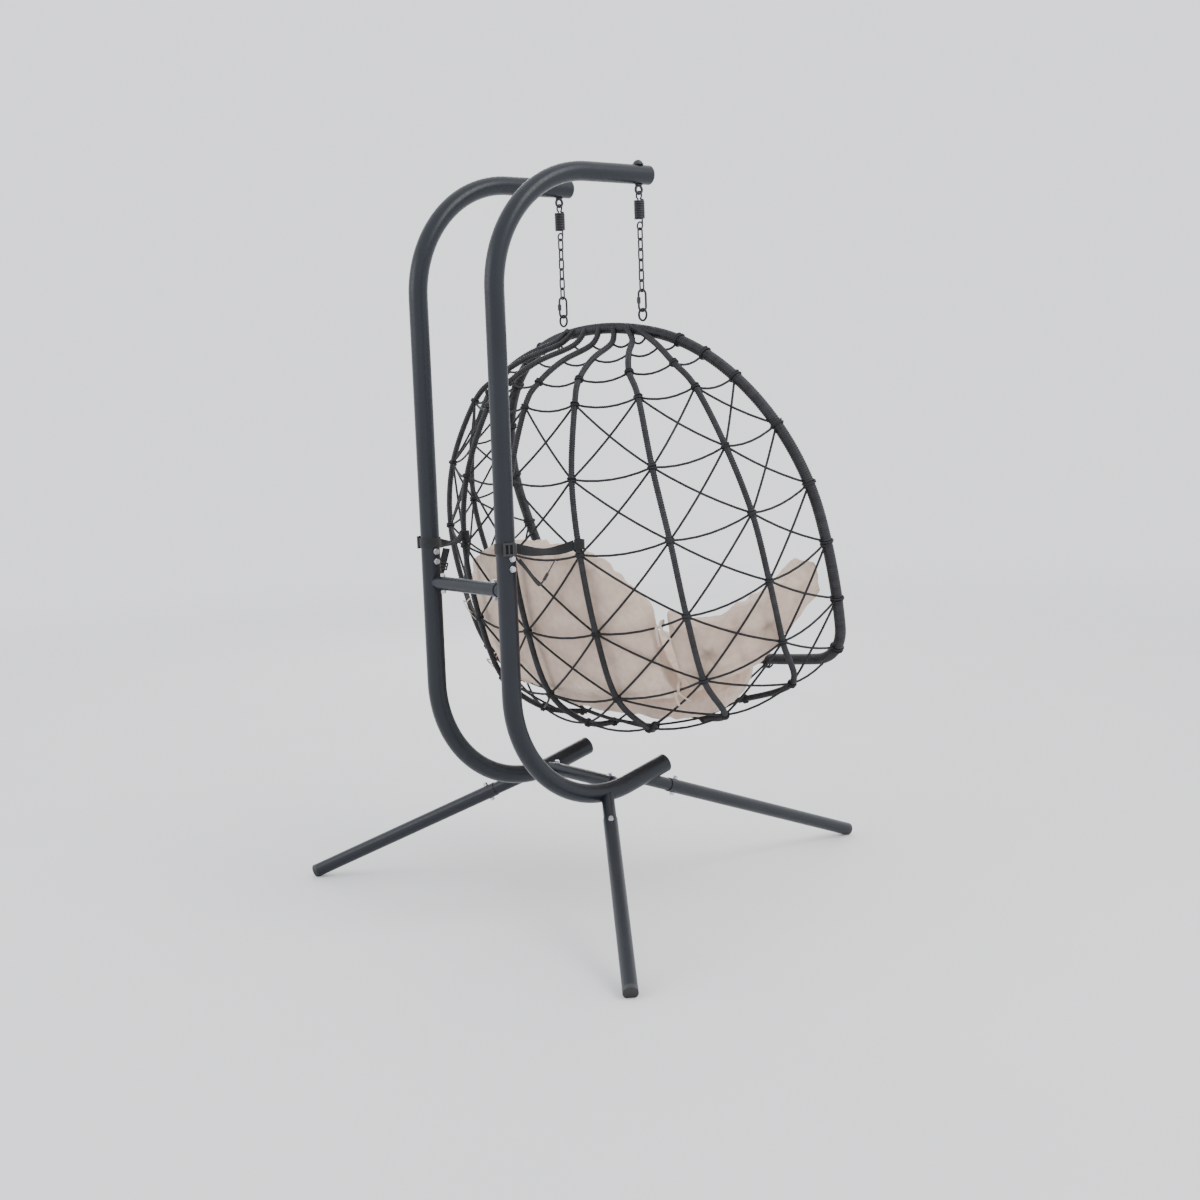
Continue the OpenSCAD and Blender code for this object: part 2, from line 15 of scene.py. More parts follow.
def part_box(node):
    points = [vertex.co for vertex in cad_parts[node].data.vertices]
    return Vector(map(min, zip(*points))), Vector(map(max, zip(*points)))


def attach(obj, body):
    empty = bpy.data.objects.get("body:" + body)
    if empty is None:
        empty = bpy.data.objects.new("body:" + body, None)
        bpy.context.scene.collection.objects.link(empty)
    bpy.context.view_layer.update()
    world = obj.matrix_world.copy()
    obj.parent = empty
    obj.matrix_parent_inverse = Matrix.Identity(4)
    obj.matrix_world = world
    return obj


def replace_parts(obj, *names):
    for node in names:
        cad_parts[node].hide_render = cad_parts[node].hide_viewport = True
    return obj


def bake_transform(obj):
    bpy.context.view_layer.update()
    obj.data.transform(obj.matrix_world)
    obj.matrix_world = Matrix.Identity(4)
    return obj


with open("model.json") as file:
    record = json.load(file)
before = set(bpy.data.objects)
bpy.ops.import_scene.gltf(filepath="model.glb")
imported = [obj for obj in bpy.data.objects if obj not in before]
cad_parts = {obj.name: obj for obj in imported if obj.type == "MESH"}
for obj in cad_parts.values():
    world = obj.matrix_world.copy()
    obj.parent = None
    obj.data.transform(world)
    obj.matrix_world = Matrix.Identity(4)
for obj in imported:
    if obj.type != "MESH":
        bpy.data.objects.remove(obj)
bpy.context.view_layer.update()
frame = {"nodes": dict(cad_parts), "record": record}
scene = bpy.context.scene


# ---------------------------------------------------------------- sizes from the frame

def middle(node):
    low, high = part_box(node)
    return (low + high) / 2


POST_LOW, POST_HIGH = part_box("right_upper_post")
POST_R = (POST_HIGH.x - POST_LOW.x) / 2
POST_Y = POST_HIGH.y - POST_R
POST_X = middle("left_upper_post").x
RIM_R = 0.015
RIB_R = 0.0085
ROPE_R = 0.0033
BAR_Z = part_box("basket_rim")[1].z - RIM_R
HANG_S = POST_Y - middle("right_basket_ring").y
LEAN = math.radians(19.3)


def at(x, s, z):
    """A place by its distance forward of the posts."""
    return Vector((x, POST_Y - s, z))


def mix(a, b, t):
    return a + (b - a) * t


def hand(side):
    """The sitter's side: -1 is right and 1 is left."""
    return "right" if side < 0 else "left"


# ---------------------------------------------------------------- shape of the basket
# The rim is a chain of tangent arcs in a leaning plane: (radius, turn in degrees).
SIDE_ARCS = [(1.000, 12), (0.520, 78), (1.500, 12), (0.140, 70)]
# Levels of the net: height at the rim, height at the middle of the back, and its
# distance in front of the posts.
LEVELS = [(1.524, 1.500, 0.440), (1.500, 1.458, 0.336), (1.463, 1.405, 0.256),
          (1.402, 1.342, 0.206), (1.280, 1.152, 0.148), (1.129, 0.961, 0.144),
          (0.978, 0.752, 0.184), (0.826, 0.573, 0.252), (0.687, 0.474, 0.380)]
RIB_TURN = [90, 71.9, 47, 20.4, 0, -20.4, -47, -71.9, -90]
ROUNDNESS = 0.85
FIRST_STAR = 3


def arc_table():
    """Start, heading and radius of each arc of half the rim."""
    start, heading, table = Vector((0, 0)), 0.0, []
    for radius, turn in SIDE_ARCS:
        table.append((start.copy(), heading, radius, turn))
        a, b = math.radians(heading), math.radians(heading + turn)
        start += radius * Vector((math.sin(b) - math.sin(a), math.cos(a) - math.cos(b)))
        heading += turn
    rest = 180 - heading
    table.append((start.copy(), heading, start.x / math.sin(math.radians(rest)), rest))
    return table


ARCS = arc_table()


def arc_point(k, t):
    """Place across and down the rim's plane, a share t of the way along arc k."""
    start, heading, radius, turn = ARCS[k]
    a, b = math.radians(heading), math.radians(heading + turn * t)
    return start + radius * Vector((math.sin(b) - math.sin(a), math.cos(a) - math.cos(b)))


def rim_at(x, q):
    """A place x across and q down the leaning plane of the rim."""
    return at(x, HANG_S + q * math.sin(LEAN), BAR_Z - q * math.cos(LEAN))


def rim_half(z):
    """Half the width of the rim at a height."""
    q = (BAR_Z - z) / math.cos(LEAN)
    k = max(i for i in range(5) if ARCS[i][0].y <= q + 1e-6 or i == 0)
    start, heading, radius, _ = ARCS[k]
    h = math.radians(heading)
    cx, cq = start.x - radius * math.sin(h), start.y + radius * math.cos(h)
    return cx + math.sqrt(max(0.0, radius ** 2 - (q - cq) ** 2))


def across(a):
    """Share of the half width at angle a round the basket; 0 is the middle of the back."""
    s = math.sin(math.radians(a))
    return math.copysign(abs(s) ** ROUNDNESS, s)


def back(a):
    """Share of the way from the rim to the middle of the back."""
    return max(0.0, math.cos(math.radians(a))) ** ROUNDNESS


def wall_at(a, t):
    """A place on the basket's wall, at an angle and a level of the net."""
    i = min(int(t), len(LEVELS) - 2)
    z_rim, z_back, s_back = (mix(p, q, t - i) for p, q in zip(LEVELS[i], LEVELS[i + 1]))
    s = HANG_S + (BAR_Z - z_rim) * math.tan(LEAN)
    return at(-rim_half(z_rim) * across(a), mix(s, s_back, back(a)), mix(z_rim, z_back, back(a)))


def rib_top(a):
    return at(-0.86 * POST_X * across(a), HANG_S - RIM_R * 2 / 3, BAR_Z)


def rib_end(a):
    return at(-0.360 * across(a), mix(0.700, 0.484, back(a)), mix(0.590, 0.462, back(a)))


def smooth_line(points, per_span):
    """Catmull-Rom curve through points."""
    out = []
    for i in range(len(points) - 1):
        a, b, c, d = (points[j] for j in (max(i - 1, 0), i, i + 1, min(i + 2, len(points) - 1)))
        for k in range(per_span):
            t = k / per_span
            out.append(0.5 * (2 * b + (c - a) * t + (2 * a - 5 * b + 4 * c - d) * t * t
                              + (3 * b - a - 3 * c + d) * t ** 3))
    return out + [points[-1].copy()]


RIB_STEPS = 8                          # points of a rib from one level to the next


def rib_line(i):
    a = RIB_TURN[i]
    return smooth_line([rib_top(a)] + [wall_at(a, t) for t in range(len(LEVELS))]
                       + [rib_end(a)], RIB_STEPS)


def knot_at(i, t):
    return wall_at(RIB_TURN[i], t)


# ---------------------------------------------------------------- shader helpers

def add(tree, kind, inputs=None, **settings):
    node = tree.nodes.new(kind)
    for name, value in settings.items():
        setattr(node, name, value)
    for name, value in (inputs or {}).items():
        if isinstance(value, bpy.types.NodeSocket):
            tree.links.new(value, node.inputs[name])
        else:
            node.inputs[name].default_value = value
    return node


def shader_group(name, inputs, outputs):
    """An empty group with named sockets; returns the tree, its inputs and its output node."""
    tree = bpy.data.node_groups.new(name, "ShaderNodeTree")
    for label, kind, value in inputs:
        socket = tree.interface.new_socket(label, in_out="INPUT", socket_type=kind)
        if value is not None:
            socket.default_value = value
    for label, kind in outputs:
        tree.interface.new_socket(label, in_out="OUTPUT", socket_type=kind)
    return tree, tree.nodes.new("NodeGroupInput").outputs, tree.nodes.new("NodeGroupOutput")


def wear_and_dust_group():
    """Two tones broken up by soft blotches, with pale dust on what faces up."""
    tree, given, out = shader_group(
        "weathering",
        [("Deep", "NodeSocketColor", (0, 0, 0, 1)), ("Light", "NodeSocketColor", (1, 1, 1, 1)),
         ("Dust", "NodeSocketColor", (0.35, 0.33, 0.30, 1)),
         ("Dust Amount", "NodeSocketFloat", 0.1), ("Scale", "NodeSocketFloat", 6.0),
         ("Rough Low", "NodeSocketFloat", 0.3), ("Rough High", "NodeSocketFloat", 0.5)],
        [("Color", "NodeSocketColor"), ("Roughness", "NodeSocketFloat")])
    place = add(tree, "ShaderNodeTexCoord").outputs["Object"]
    blotch = add(tree, "ShaderNodeTexNoise", {"Vector": place, "Scale": given["Scale"],
                                              "Detail": 6.0, "Roughness": 0.6})
    speck = add(tree, "ShaderNodeTexNoise", {"Vector": place, "Scale": 140.0, "Detail": 3.0})
    tone = add(tree, "ShaderNodeMix", {"Factor": blotch.outputs["Fac"], "A": given["Deep"],
                                       "B": given["Light"]}, data_type="RGBA")
    up = add(tree, "ShaderNodeSeparateXYZ", {"Vector": add(tree, "ShaderNodeNewGeometry")
                                             .outputs["Normal"]})
    level = add(tree, "ShaderNodeMapRange", {"Value": up.outputs["Z"], "From Min": 0.35,
                                             "From Max": 1.0, "To Min": 0.0, "To Max": 1.0})
    patch = add(tree, "ShaderNodeMath", {0: level.outputs["Result"], 1: speck.outputs["Fac"]},
                operation="MULTIPLY")
    amount = add(tree, "ShaderNodeMath", {0: patch.outputs[0], 1: given["Dust Amount"]},
                 operation="MULTIPLY")
    dusty = add(tree, "ShaderNodeMix", {"Factor": amount.outputs[0], "A": tone.outputs["Result"],
                                        "B": given["Dust"]}, data_type="RGBA")
    rough = add(tree, "ShaderNodeMapRange", {"Value": speck.outputs["Fac"], "From Min": 0.3,
                                             "From Max": 0.7, "To Min": given["Rough Low"],
                                             "To Max": given["Rough High"]})
    tree.links.new(dusty.outputs["Result"], out.inputs["Color"])
    tree.links.new(rough.outputs["Result"], out.inputs["Roughness"])
    return tree


def grain_group():
    """Height of a fine even grain, such as orange peel in a coating."""
    tree, given, out = shader_group("fine_grain", [("Scale", "NodeSocketFloat", 400.0)],
                                    [("Height", "NodeSocketFloat")])
    place = add(tree, "ShaderNodeTexCoord").outputs["Object"]
    peel = add(tree, "ShaderNodeTexNoise", {"Vector": place, "Scale": given["Scale"],
                                            "Detail": 2.0, "Roughness": 0.4})
    tree.links.new(peel.outputs["Fac"], out.inputs["Height"])
    return tree


def weave_group():
    """Height and tone of a plain weave, from crossed threads on a chosen coordinate."""
    tree, given, out = shader_group(
        "plain_weave", [("Vector", "NodeSocketVector", None), ("Threads", "NodeSocketFloat", 900.0)],
        [("Height", "NodeSocketFloat"), ("Tone", "NodeSocketFloat")])
    scaled = add(tree, "ShaderNodeVectorMath", {0: given["Vector"], "Scale": given["Threads"]},
                 operation="SCALE")
    axes = add(tree, "ShaderNodeSeparateXYZ", {"Vector": scaled.outputs[0]})
    waves = [add(tree, "ShaderNodeMath", {0: axes.outputs[n]}, operation="SINE").outputs[0]
             for n in "XYZ"]
    pair = add(tree, "ShaderNodeMath", {0: waves[0], 1: waves[1]}, operation="MULTIPLY")
    both = add(tree, "ShaderNodeMath", {0: pair.outputs[0], 1: waves[2]}, operation="ADD")
    slub = add(tree, "ShaderNodeTexNoise", {"Vector": given["Vector"], "Scale": 60.0,
                                            "Detail": 4.0})
    height = add(tree, "ShaderNodeMath", {0: both.outputs[0], 1: slub.outputs["Fac"]},
                 operation="ADD")
    tree.links.new(height.outputs[0], out.inputs["Height"])
    tree.links.new(slub.outputs["Fac"], out.inputs["Tone"])
    return tree


WEATHER = wear_and_dust_group()
GRAIN = grain_group()
WEAVE = weave_group()


def material(name):
    """A material with its Principled shader, and the tree to build on."""
    mat = bpy.data.materials.new(name)
    mat.use_nodes = True
    return mat, mat.node_tree, mat.node_tree.nodes["Principled BSDF"]


def coated(name, deep, light, rough, dust=0.12, grain=500.0, bump=0.06, metallic=0.0, coat=0.0,
           specular=0.5, scale=6.0):
    """Smooth hard finish: coating, plating or moulded plastic."""
    mat, tree, shader = material(name)
    tones = add(tree, "ShaderNodeGroup", node_tree=WEATHER)
    for label, value in (("Deep", (*deep, 1)), ("Light", (*light, 1)), ("Dust Amount", dust),
                         ("Scale", scale), ("Rough Low", rough[0]), ("Rough High", rough[1])):
        tones.inputs[label].default_value = value
    peel = add(tree, "ShaderNodeGroup", node_tree=GRAIN)
    peel.inputs["Scale"].default_value = grain
    relief = add(tree, "ShaderNodeBump", {"Height": peel.outputs["Height"], "Strength": bump,
                                          "Distance": 0.001})
    tree.links.new(tones.outputs["Color"], shader.inputs["Base Color"])
    tree.links.new(tones.outputs["Roughness"], shader.inputs["Roughness"])
    tree.links.new(relief.outputs["Normal"], shader.inputs["Normal"])
    shader.inputs["Metallic"].default_value = metallic
    shader.inputs["Coat Weight"].default_value = coat
    shader.inputs["Coat Roughness"].default_value = 0.25
    shader.inputs["Specular IOR Level"].default_value = specular
    return mat


def cord_finish(name, deep, light, rough):
    """Resin cord: each turn a little different along the line."""
    mat, tree, shader = material(name)
    along = add(tree, "ShaderNodeAttribute", attribute_name="along").outputs["Fac"]
    streak = add(tree, "ShaderNodeTexNoise", {"W": along, "Scale": 55.0, "Detail": 3.0},
                 noise_dimensions="1D")
    place = add(tree, "ShaderNodeTexCoord").outputs["Object"]
    patch = add(tree, "ShaderNodeTexNoise", {"Vector": place, "Scale": 9.0, "Detail": 4.0})
    blend = add(tree, "ShaderNodeMath", {0: streak.outputs["Fac"], 1: patch.outputs["Fac"]},
                operation="MULTIPLY")
    tone = add(tree, "ShaderNodeMapRange", {"Value": blend.outputs[0], "From Min": 0.12,
                                            "From Max": 0.42})
    colour = add(tree, "ShaderNodeMix", {"Factor": tone.outputs["Result"], "A": (*deep, 1),
                                         "B": (*light, 1)}, data_type="RGBA")
    gloss = add(tree, "ShaderNodeMapRange", {"Value": streak.outputs["Fac"], "To Min": rough[0],
                                             "To Max": rough[1]})
    fibre = add(tree, "ShaderNodeTexNoise", {"Vector": place, "Scale": 900.0, "Detail": 2.0})
    relief = add(tree, "ShaderNodeBump", {"Height": fibre.outputs["Fac"], "Strength": 0.25,
                                          "Distance": 0.0006})
    tree.links.new(colour.outputs["Result"], shader.inputs["Base Color"])
    tree.links.new(gloss.outputs["Result"], shader.inputs["Roughness"])
    tree.links.new(relief.outputs["Normal"], shader.inputs["Normal"])
    shader.inputs["Specular IOR Level"].default_value = 0.35
    return mat


def cloth_finish(name, deep, light, threads, crease=True):
    """Woven cloth, with painted shade making it darker in its creases."""
    mat, tree, shader = material(name)
    place = add(tree, "ShaderNodeTexCoord").outputs["Object"]
    weave = add(tree, "ShaderNodeGroup", {"Vector": place, "Threads": threads}, node_tree=WEAVE)
    patch = add(tree, "ShaderNodeTexNoise", {"Vector": place, "Scale": 7.0, "Detail": 5.0})
    tone = add(tree, "ShaderNodeMath", {0: weave.outputs["Tone"], 1: patch.outputs["Fac"]},
               operation="MULTIPLY")
    spread = add(tree, "ShaderNodeMapRange", {"Value": tone.outputs[0], "From Min": 0.12,
                                              "From Max": 0.40})
    colour = add(tree, "ShaderNodeMix", {"Factor": spread.outputs["Result"], "A": (*deep, 1),
                                         "B": (*light, 1)}, data_type="RGBA").outputs["Result"]
    # Painted shade: the colour goes toward 0.72 of the deep tone where the cloth is pulled in at
    # tufts and seams, and in the valleys of its folds.
    if crease:
        fold = add(tree, "ShaderNodeAttribute", attribute_name="crease").outputs["Fac"]
        colour = add(tree, "ShaderNodeMix", {"Factor": fold, "A": colour,
                                             "B": tuple(c * 0.72 for c in deep) + (1,)},
                     data_type="RGBA").outputs["Result"]
    relief = add(tree, "ShaderNodeBump", {"Height": weave.outputs["Height"], "Strength": 0.35,
                                          "Distance": 0.0006})
    tree.links.new(colour, shader.inputs["Base Color"])
    tree.links.new(relief.outputs["Normal"], shader.inputs["Normal"])
    shader.inputs["Roughness"].default_value = 0.9
    shader.inputs["Sheen Weight"].default_value = 0.12
    shader.inputs["Sheen Roughness"].default_value = 0.5
    return mat


SLATE = coated("slate_powder_coat", (0.007, 0.009, 0.013), (0.013, 0.0165, 0.023), (0.28, 0.42),
               dust=0.03, grain=650.0, bump=0.10, coat=0.04, specular=0.30)
ZINC = coated("zinc_plate", (0.42, 0.43, 0.45), (0.66, 0.67, 0.70), (0.22, 0.40), dust=0.08,
              grain=300.0, bump=0.05, metallic=1.0, scale=40.0)
BLACK_PLASTIC = coated("black_moulding", (0.010, 0.010, 0.011), (0.020, 0.020, 0.022),
                       (0.40, 0.55), dust=0.10, grain=900.0, bump=0.15)
BLACK_WIRE = coated("blackened_wire", (0.012, 0.013, 0.016), (0.040, 0.042, 0.048),
                    (0.30, 0.46), dust=0.02, metallic=0.4, scale=45.0)
WOUND_CORD = cord_finish("wound_resin_cord", (0.005, 0.005, 0.006), (0.019, 0.020, 0.024),
                         (0.40, 0.60))
NET_ROPE = cord_finish("net_rope", (0.005, 0.005, 0.006), (0.018, 0.019, 0.022), (0.55, 0.75))
BEIGE_CLOTH = cloth_finish("beige_cushion_cloth", (0.55, 0.415, 0.330), (0.69, 0.535, 0.440), 2600.0)
TIE_CLOTH = cloth_finish("beige_tie_tape", (0.46, 0.37, 0.30), (0.58, 0.48, 0.41), 3600.0, False)
WEBBING = cloth_finish("black_webbing", (0.004, 0.004, 0.005), (0.013, 0.013, 0.015), 2200.0, False)

FINISH = {"powder_coated_steel": SLATE, "blackened_steel": BLACK_WIRE, "zinc_hardware": ZINC,
          "black_plastic": BLACK_PLASTIC, "basket_cord": WOUND_CORD, "cushion_cloth": BEIGE_CLOTH,
          "black_webbing": WEBBING, "buckle_plastic": BLACK_PLASTIC}
for part in frame["record"]["subparts"]:
    mesh = frame["nodes"][part["node"]].data
    mesh.materials.clear()
    mesh.materials.append(FINISH[part["material_slot"]])


# ---------------------------------------------------------------- geometry-node trees

def geometry_tree(name, inputs):
    """An empty geometry tree with named inputs; returns it, its inputs and its output node."""
    tree = bpy.data.node_groups.new(name, "GeometryNodeTree")
    tree.interface.new_socket("Geometry", in_out="INPUT", socket_type="NodeSocketGeometry")
    for label, kind, value in inputs:
        socket = tree.interface.new_socket(label, in_out="INPUT", socket_type=kind)
        if value is not None:
            socket.default_value = value
    tree.interface.new_socket("Geometry", in_out="OUTPUT", socket_type="NodeSocketGeometry")
    return tree, tree.nodes.new("NodeGroupInput").outputs, tree.nodes.new("NodeGroupOutput")


def finish_tree(tree, geometry, finish, out):
    """End a tree with real, smooth geometry in one finish."""
    real = add(tree, "GeometryNodeRealizeInstances", {"Geometry": geometry})
    soft = add(tree, "GeometryNodeSetShadeSmooth", {"Geometry": real.outputs["Geometry"]})
    last = add(tree, "GeometryNodeSetMaterial", {"Geometry": soft.outputs["Geometry"],
                                                 "Material": finish})
    tree.links.new(last.outputs["Geometry"], out.inputs["Geometry"])


def line_tree():
    """A round bar, rope or winding along lines.  Strands turn round it once each Pitch, and
    stand out by Depth; one strand is a winding, three are a laid rope."""
    tree, given, out = geometry_tree("line_with_strands", [
        ("Radius", "NodeSocketFloat", 0.01), ("Depth", "NodeSocketFloat", 0.001),
        ("Pitch", "NodeSocketFloat", 0.006), ("Strands", "NodeSocketFloat", 1.0),
        ("Step", "NodeSocketFloat", 0.001), ("Sides", "NodeSocketInt", 12),
        ("Finish", "NodeSocketMaterial", None)])
    line = add(tree, "GeometryNodeMeshToCurve", {"Mesh": given["Geometry"]})
    even = add(tree, "GeometryNodeResampleCurve", {"Curve": line.outputs["Curve"],
                                                   "Length": given["Step"]}, mode="LENGTH")
    run = add(tree, "GeometryNodeSplineParameter")
    lined = add(tree, "GeometryNodeStoreNamedAttribute",
                {"Geometry": even.outputs["Curve"], "Name": "along",
                 "Value": run.outputs["Length"]}, data_type="FLOAT", domain="POINT")
    ring = add(tree, "GeometryNodeCurvePrimitiveCircle", {"Resolution": given["Sides"],
                                                          "Radius": given["Radius"]})
    ringed = add(tree, "GeometryNodeStoreNamedAttribute",
                 {"Geometry": ring.outputs["Curve"], "Name": "around",
                  "Value": run.outputs["Factor"]}, data_type="FLOAT", domain="POINT")
    skin = add(tree, "GeometryNodeCurveToMesh", {"Curve": lined.outputs["Geometry"],
                                                 "Profile Curve": ringed.outputs["Geometry"],
                                                 "Fill Caps": True})
    along = add(tree, "GeometryNodeInputNamedAttribute", {"Name": "along"}, data_type="FLOAT")
    around = add(tree, "GeometryNodeInputNamedAttribute", {"Name": "around"}, data_type="FLOAT")
    turns = add(tree, "ShaderNodeMath", {0: along.outputs["Attribute"], 1: given["Pitch"]},
                operation="DIVIDE")
    lobes = add(tree, "ShaderNodeMath", {0: around.outputs["Attribute"], 1: given["Strands"]},
                operation="MULTIPLY")
    phase = add(tree, "ShaderNodeMath", {0: turns.outputs[0], 1: lobes.outputs[0]},
                operation="ADD")
    angle = add(tree, "ShaderNodeMath", {0: phase.outputs[0], 1: math.pi}, operation="MULTIPLY")
    wave = add(tree, "ShaderNodeMath", {0: angle.outputs[0]}, operation="SINE")
    rise = add(tree, "ShaderNodeMath", {0: wave.outputs[0]}, operation="ABSOLUTE")
    high = add(tree, "ShaderNodeMath", {0: rise.outputs[0], 1: given["Depth"]},
               operation="MULTIPLY")
    push = add(tree, "ShaderNodeVectorMath",
               {0: add(tree, "GeometryNodeInputNormal").outputs["Normal"],
                "Scale": high.outputs[0]}, operation="SCALE")
    shaped = add(tree, "GeometryNodeSetPosition", {"Geometry": skin.outputs["Mesh"],
                                                   "Offset": push.outputs[0]})
    finish_tree(tree, shaped.outputs["Geometry"], given["Finish"], out)
    return tree


def lashing_tree():
    """Turns of rope lashed round a bar at each point, across the direction stored there."""
    tree, given, out = geometry_tree("lashing", [
        ("Bar Radius", "NodeSocketFloat", 0.0085), ("Rope Radius", "NodeSocketFloat", 0.0023),
        ("Turns", "NodeSocketInt", 5), ("Finish", "NodeSocketMaterial", None)])
    turn = add(tree, "GeometryNodeCurvePrimitiveCircle", {"Resolution": 14,
                                                          "Radius": given["Bar Radius"]})
    rope = add(tree, "GeometryNodeCurvePrimitiveCircle", {"Resolution": 5,
                                                          "Radius": given["Rope Radius"]})
    loop = add(tree, "GeometryNodeCurveToMesh", {"Curve": turn.outputs["Curve"],
                                                 "Profile Curve": rope.outputs["Curve"]})
    gap = add(tree, "ShaderNodeMath", {0: given["Rope Radius"], 1: 1.9}, operation="MULTIPLY")
    step = add(tree, "ShaderNodeCombineXYZ", {"Z": gap.outputs[0]})
    less = add(tree, "ShaderNodeMath", {0: given["Turns"], 1: 1.0}, operation="SUBTRACT")
    span = add(tree, "ShaderNodeMath", {0: less.outputs[0], 1: gap.outputs[0]},
               operation="MULTIPLY")
    half = add(tree, "ShaderNodeMath", {0: span.outputs[0], 1: -0.5}, operation="MULTIPLY")
    low = add(tree, "ShaderNodeCombineXYZ", {"Z": half.outputs[0]})
    stack = add(tree, "GeometryNodeMeshLine", {"Count": given["Turns"],
                                               "Start Location": low.outputs[0],
                                               "Offset": step.outputs[0]}, mode="OFFSET")
    tilt = add(tree, "FunctionNodeRandomValue", {"Min": (-0.12, -0.12, 0), "Max": (0.12, 0.12, 0),
                                                 "Seed": 4}, data_type="FLOAT_VECTOR")
    turns = add(tree, "GeometryNodeInstanceOnPoints", {"Points": stack.outputs["Mesh"],
                                                       "Instance": loop.outputs["Mesh"],
                                                       "Rotation": tilt.outputs[0]})
    lashing = add(tree, "GeometryNodeRealizeInstances", {"Geometry": turns.outputs["Instances"]})
    lie = add(tree, "GeometryNodeInputNamedAttribute", {"Name": "lie"},
              data_type="FLOAT_VECTOR")
    aim = add(tree, "FunctionNodeAlignRotationToVector", {"Vector": lie.outputs["Attribute"]},
              axis="Z")
    placed = add(tree, "GeometryNodeInstanceOnPoints", {"Points": given["Geometry"],
                                                        "Instance": lashing.outputs["Geometry"],
                                                        "Rotation": aim.outputs["Rotation"]})
    finish_tree(tree, placed.outputs["Instances"], given["Finish"], out)
    return tree


LINE = line_tree()
LASHING = lashing_tree()


def link(obj):
    scene.collection.objects.link(obj)
    return obj


def lines_mesh(name, lines, closed=False):
    """A mesh of loose edges, one chain for each line."""
    points, edges = [], []
    for line in lines:
        first = len(points)
        points += [tuple(p) for p in line]
        edges += [(first + i, first + i + 1) for i in range(len(line) - 1)]
        if closed:
            edges.append((first + len(line) - 1, first))
    mesh = bpy.data.meshes.new(name)
    mesh.from_pydata(points, edges, [])
    return mesh


def built(name, mesh, tree, values):
    """The plain mesh that a geometry tree makes from a starting mesh."""
    start = link(bpy.data.objects.new(name + "_start", mesh))
    build = start.modifiers.new("build", "NODES")
    build.node_group = tree
    for item in tree.interface.items_tree:
        if item.name in values and item.in_out == "INPUT":
            build[item.identifier] = values[item.name]
    graph = bpy.context.evaluated_depsgraph_get()
    result = bpy.data.meshes.new_from_object(start.evaluated_get(graph), depsgraph=graph)
    result.name = name
    bpy.data.objects.remove(start)
    piece = link(bpy.data.objects.new(name, result))
    return piece


def length_of(line, closed=False):
    pairs = zip(line, line[1:] + ([line[0]] if closed else []))
    return sum((b - a).length for a, b in pairs)


# ---------------------------------------------------------------- wound rim and ribs
CORD_PITCH = 0.0062
CORD_DEPTH = 0.0015
CORD_STEPS = 6                         # points along each turn of the cord
ARC_STEPS = (6, 28, 10, 14, 10)        # points along each arc of the rim


def wound_bar(name, line, radius, nodes, sides, closed=False):
    whole = length_of(line, closed)
    pitch = whole / round(whole / CORD_PITCH)
    bar = built(name, lines_mesh(name, [line], closed), LINE,
                {"Radius": radius - CORD_DEPTH, "Depth": CORD_DEPTH, "Pitch": pitch,
                 "Strands": 1.0, "Step": pitch / CORD_STEPS, "Sides": sides, "Finish": WOUND_CORD})
    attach(bar, "basket")
    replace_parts(bar, *nodes)


half = [arc_point(k, i / n) for k, n in enumerate(ARC_STEPS) for i in range(n)]
outline = half + [arc_point(4, 1.0)] + [Vector((-p.x, p.y)) for p in reversed(half[1:])]
# The winding starts and ends at the middle of the front bar.
outline = outline[len(half):] + outline[:len(half)]
wound_bar("wound_rim", [rim_at(p.x, p.y) for p in outline], RIM_R, ["basket_rim"], 16, closed=True)
for i in range(1, 8):
    wound_bar(f"wound_rib_{i}", rib_line(i), RIB_R, [f"rib_{i}"], 12)


# ---------------------------------------------------------------- net of laid rope
SAG = 0.015                            # of a level rope
SLACK = 0.009                          # of a slanting rope
UNDER_SLACK = 0.006                    # of a long rope under the seat
STRAND_RISE = 0.0008
STRAND_SINK = 0.0007
ROPE_LAY = 0.006
ROPE_STEP = 0.0026


def sagging(a, b, sag, count=7):
    """Points of a line from a to b that hangs down by sag at its middle."""
    shares = [k / (count - 1) for k in range(count)]
    return [mix(a, b, t) - Vector((0, 0, sag * 4 * t * (1 - t))) for t in shares]


def laid_rope(name, lines, nodes):
    ropes = built(name, lines_mesh(name, lines), LINE,
                  {"Radius": ROPE_R - STRAND_SINK, "Depth": STRAND_RISE, "Pitch": ROPE_LAY,
                   "Strands": 3.0, "Step": ROPE_STEP, "Sides": 9, "Finish": NET_ROPE})
    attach(ropes, "basket")
    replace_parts(ropes, *nodes)


for i in range(8):
    lines = [sagging(knot_at(i, t), knot_at(i + 1, t), SAG) for t in range(len(LEVELS))]
    for t in range(FIRST_STAR, len(LEVELS) - 1):
        lines.append(sagging(knot_at(i, t), knot_at(i + 1, t + 1), SLACK))
        lines.append(sagging(knot_at(i + 1, t), knot_at(i, t + 1), SLACK))
    laid_rope(f"net_{i + 1}", lines, [f"net_bay_{i + 1}"])

ends = [rib_end(RIB_TURN[i]) for i in range(1, 8)]
front_bar = arc_point(4, 1.0).y - 0.003    # a little above the centre line of the bar
under = [sagging(a, b, 0.002, 4) for a, b in zip(ends, ends[1:])]
under += [sagging(ends[i], ends[6 - i], UNDER_SLACK) for i in range(3)]
under += [sagging(ends[i], rim_at(ends[i].x, front_bar), UNDER_SLACK) for i in range(1, 6)]
laid_rope("net_under_seat", under, ["seat_net"])


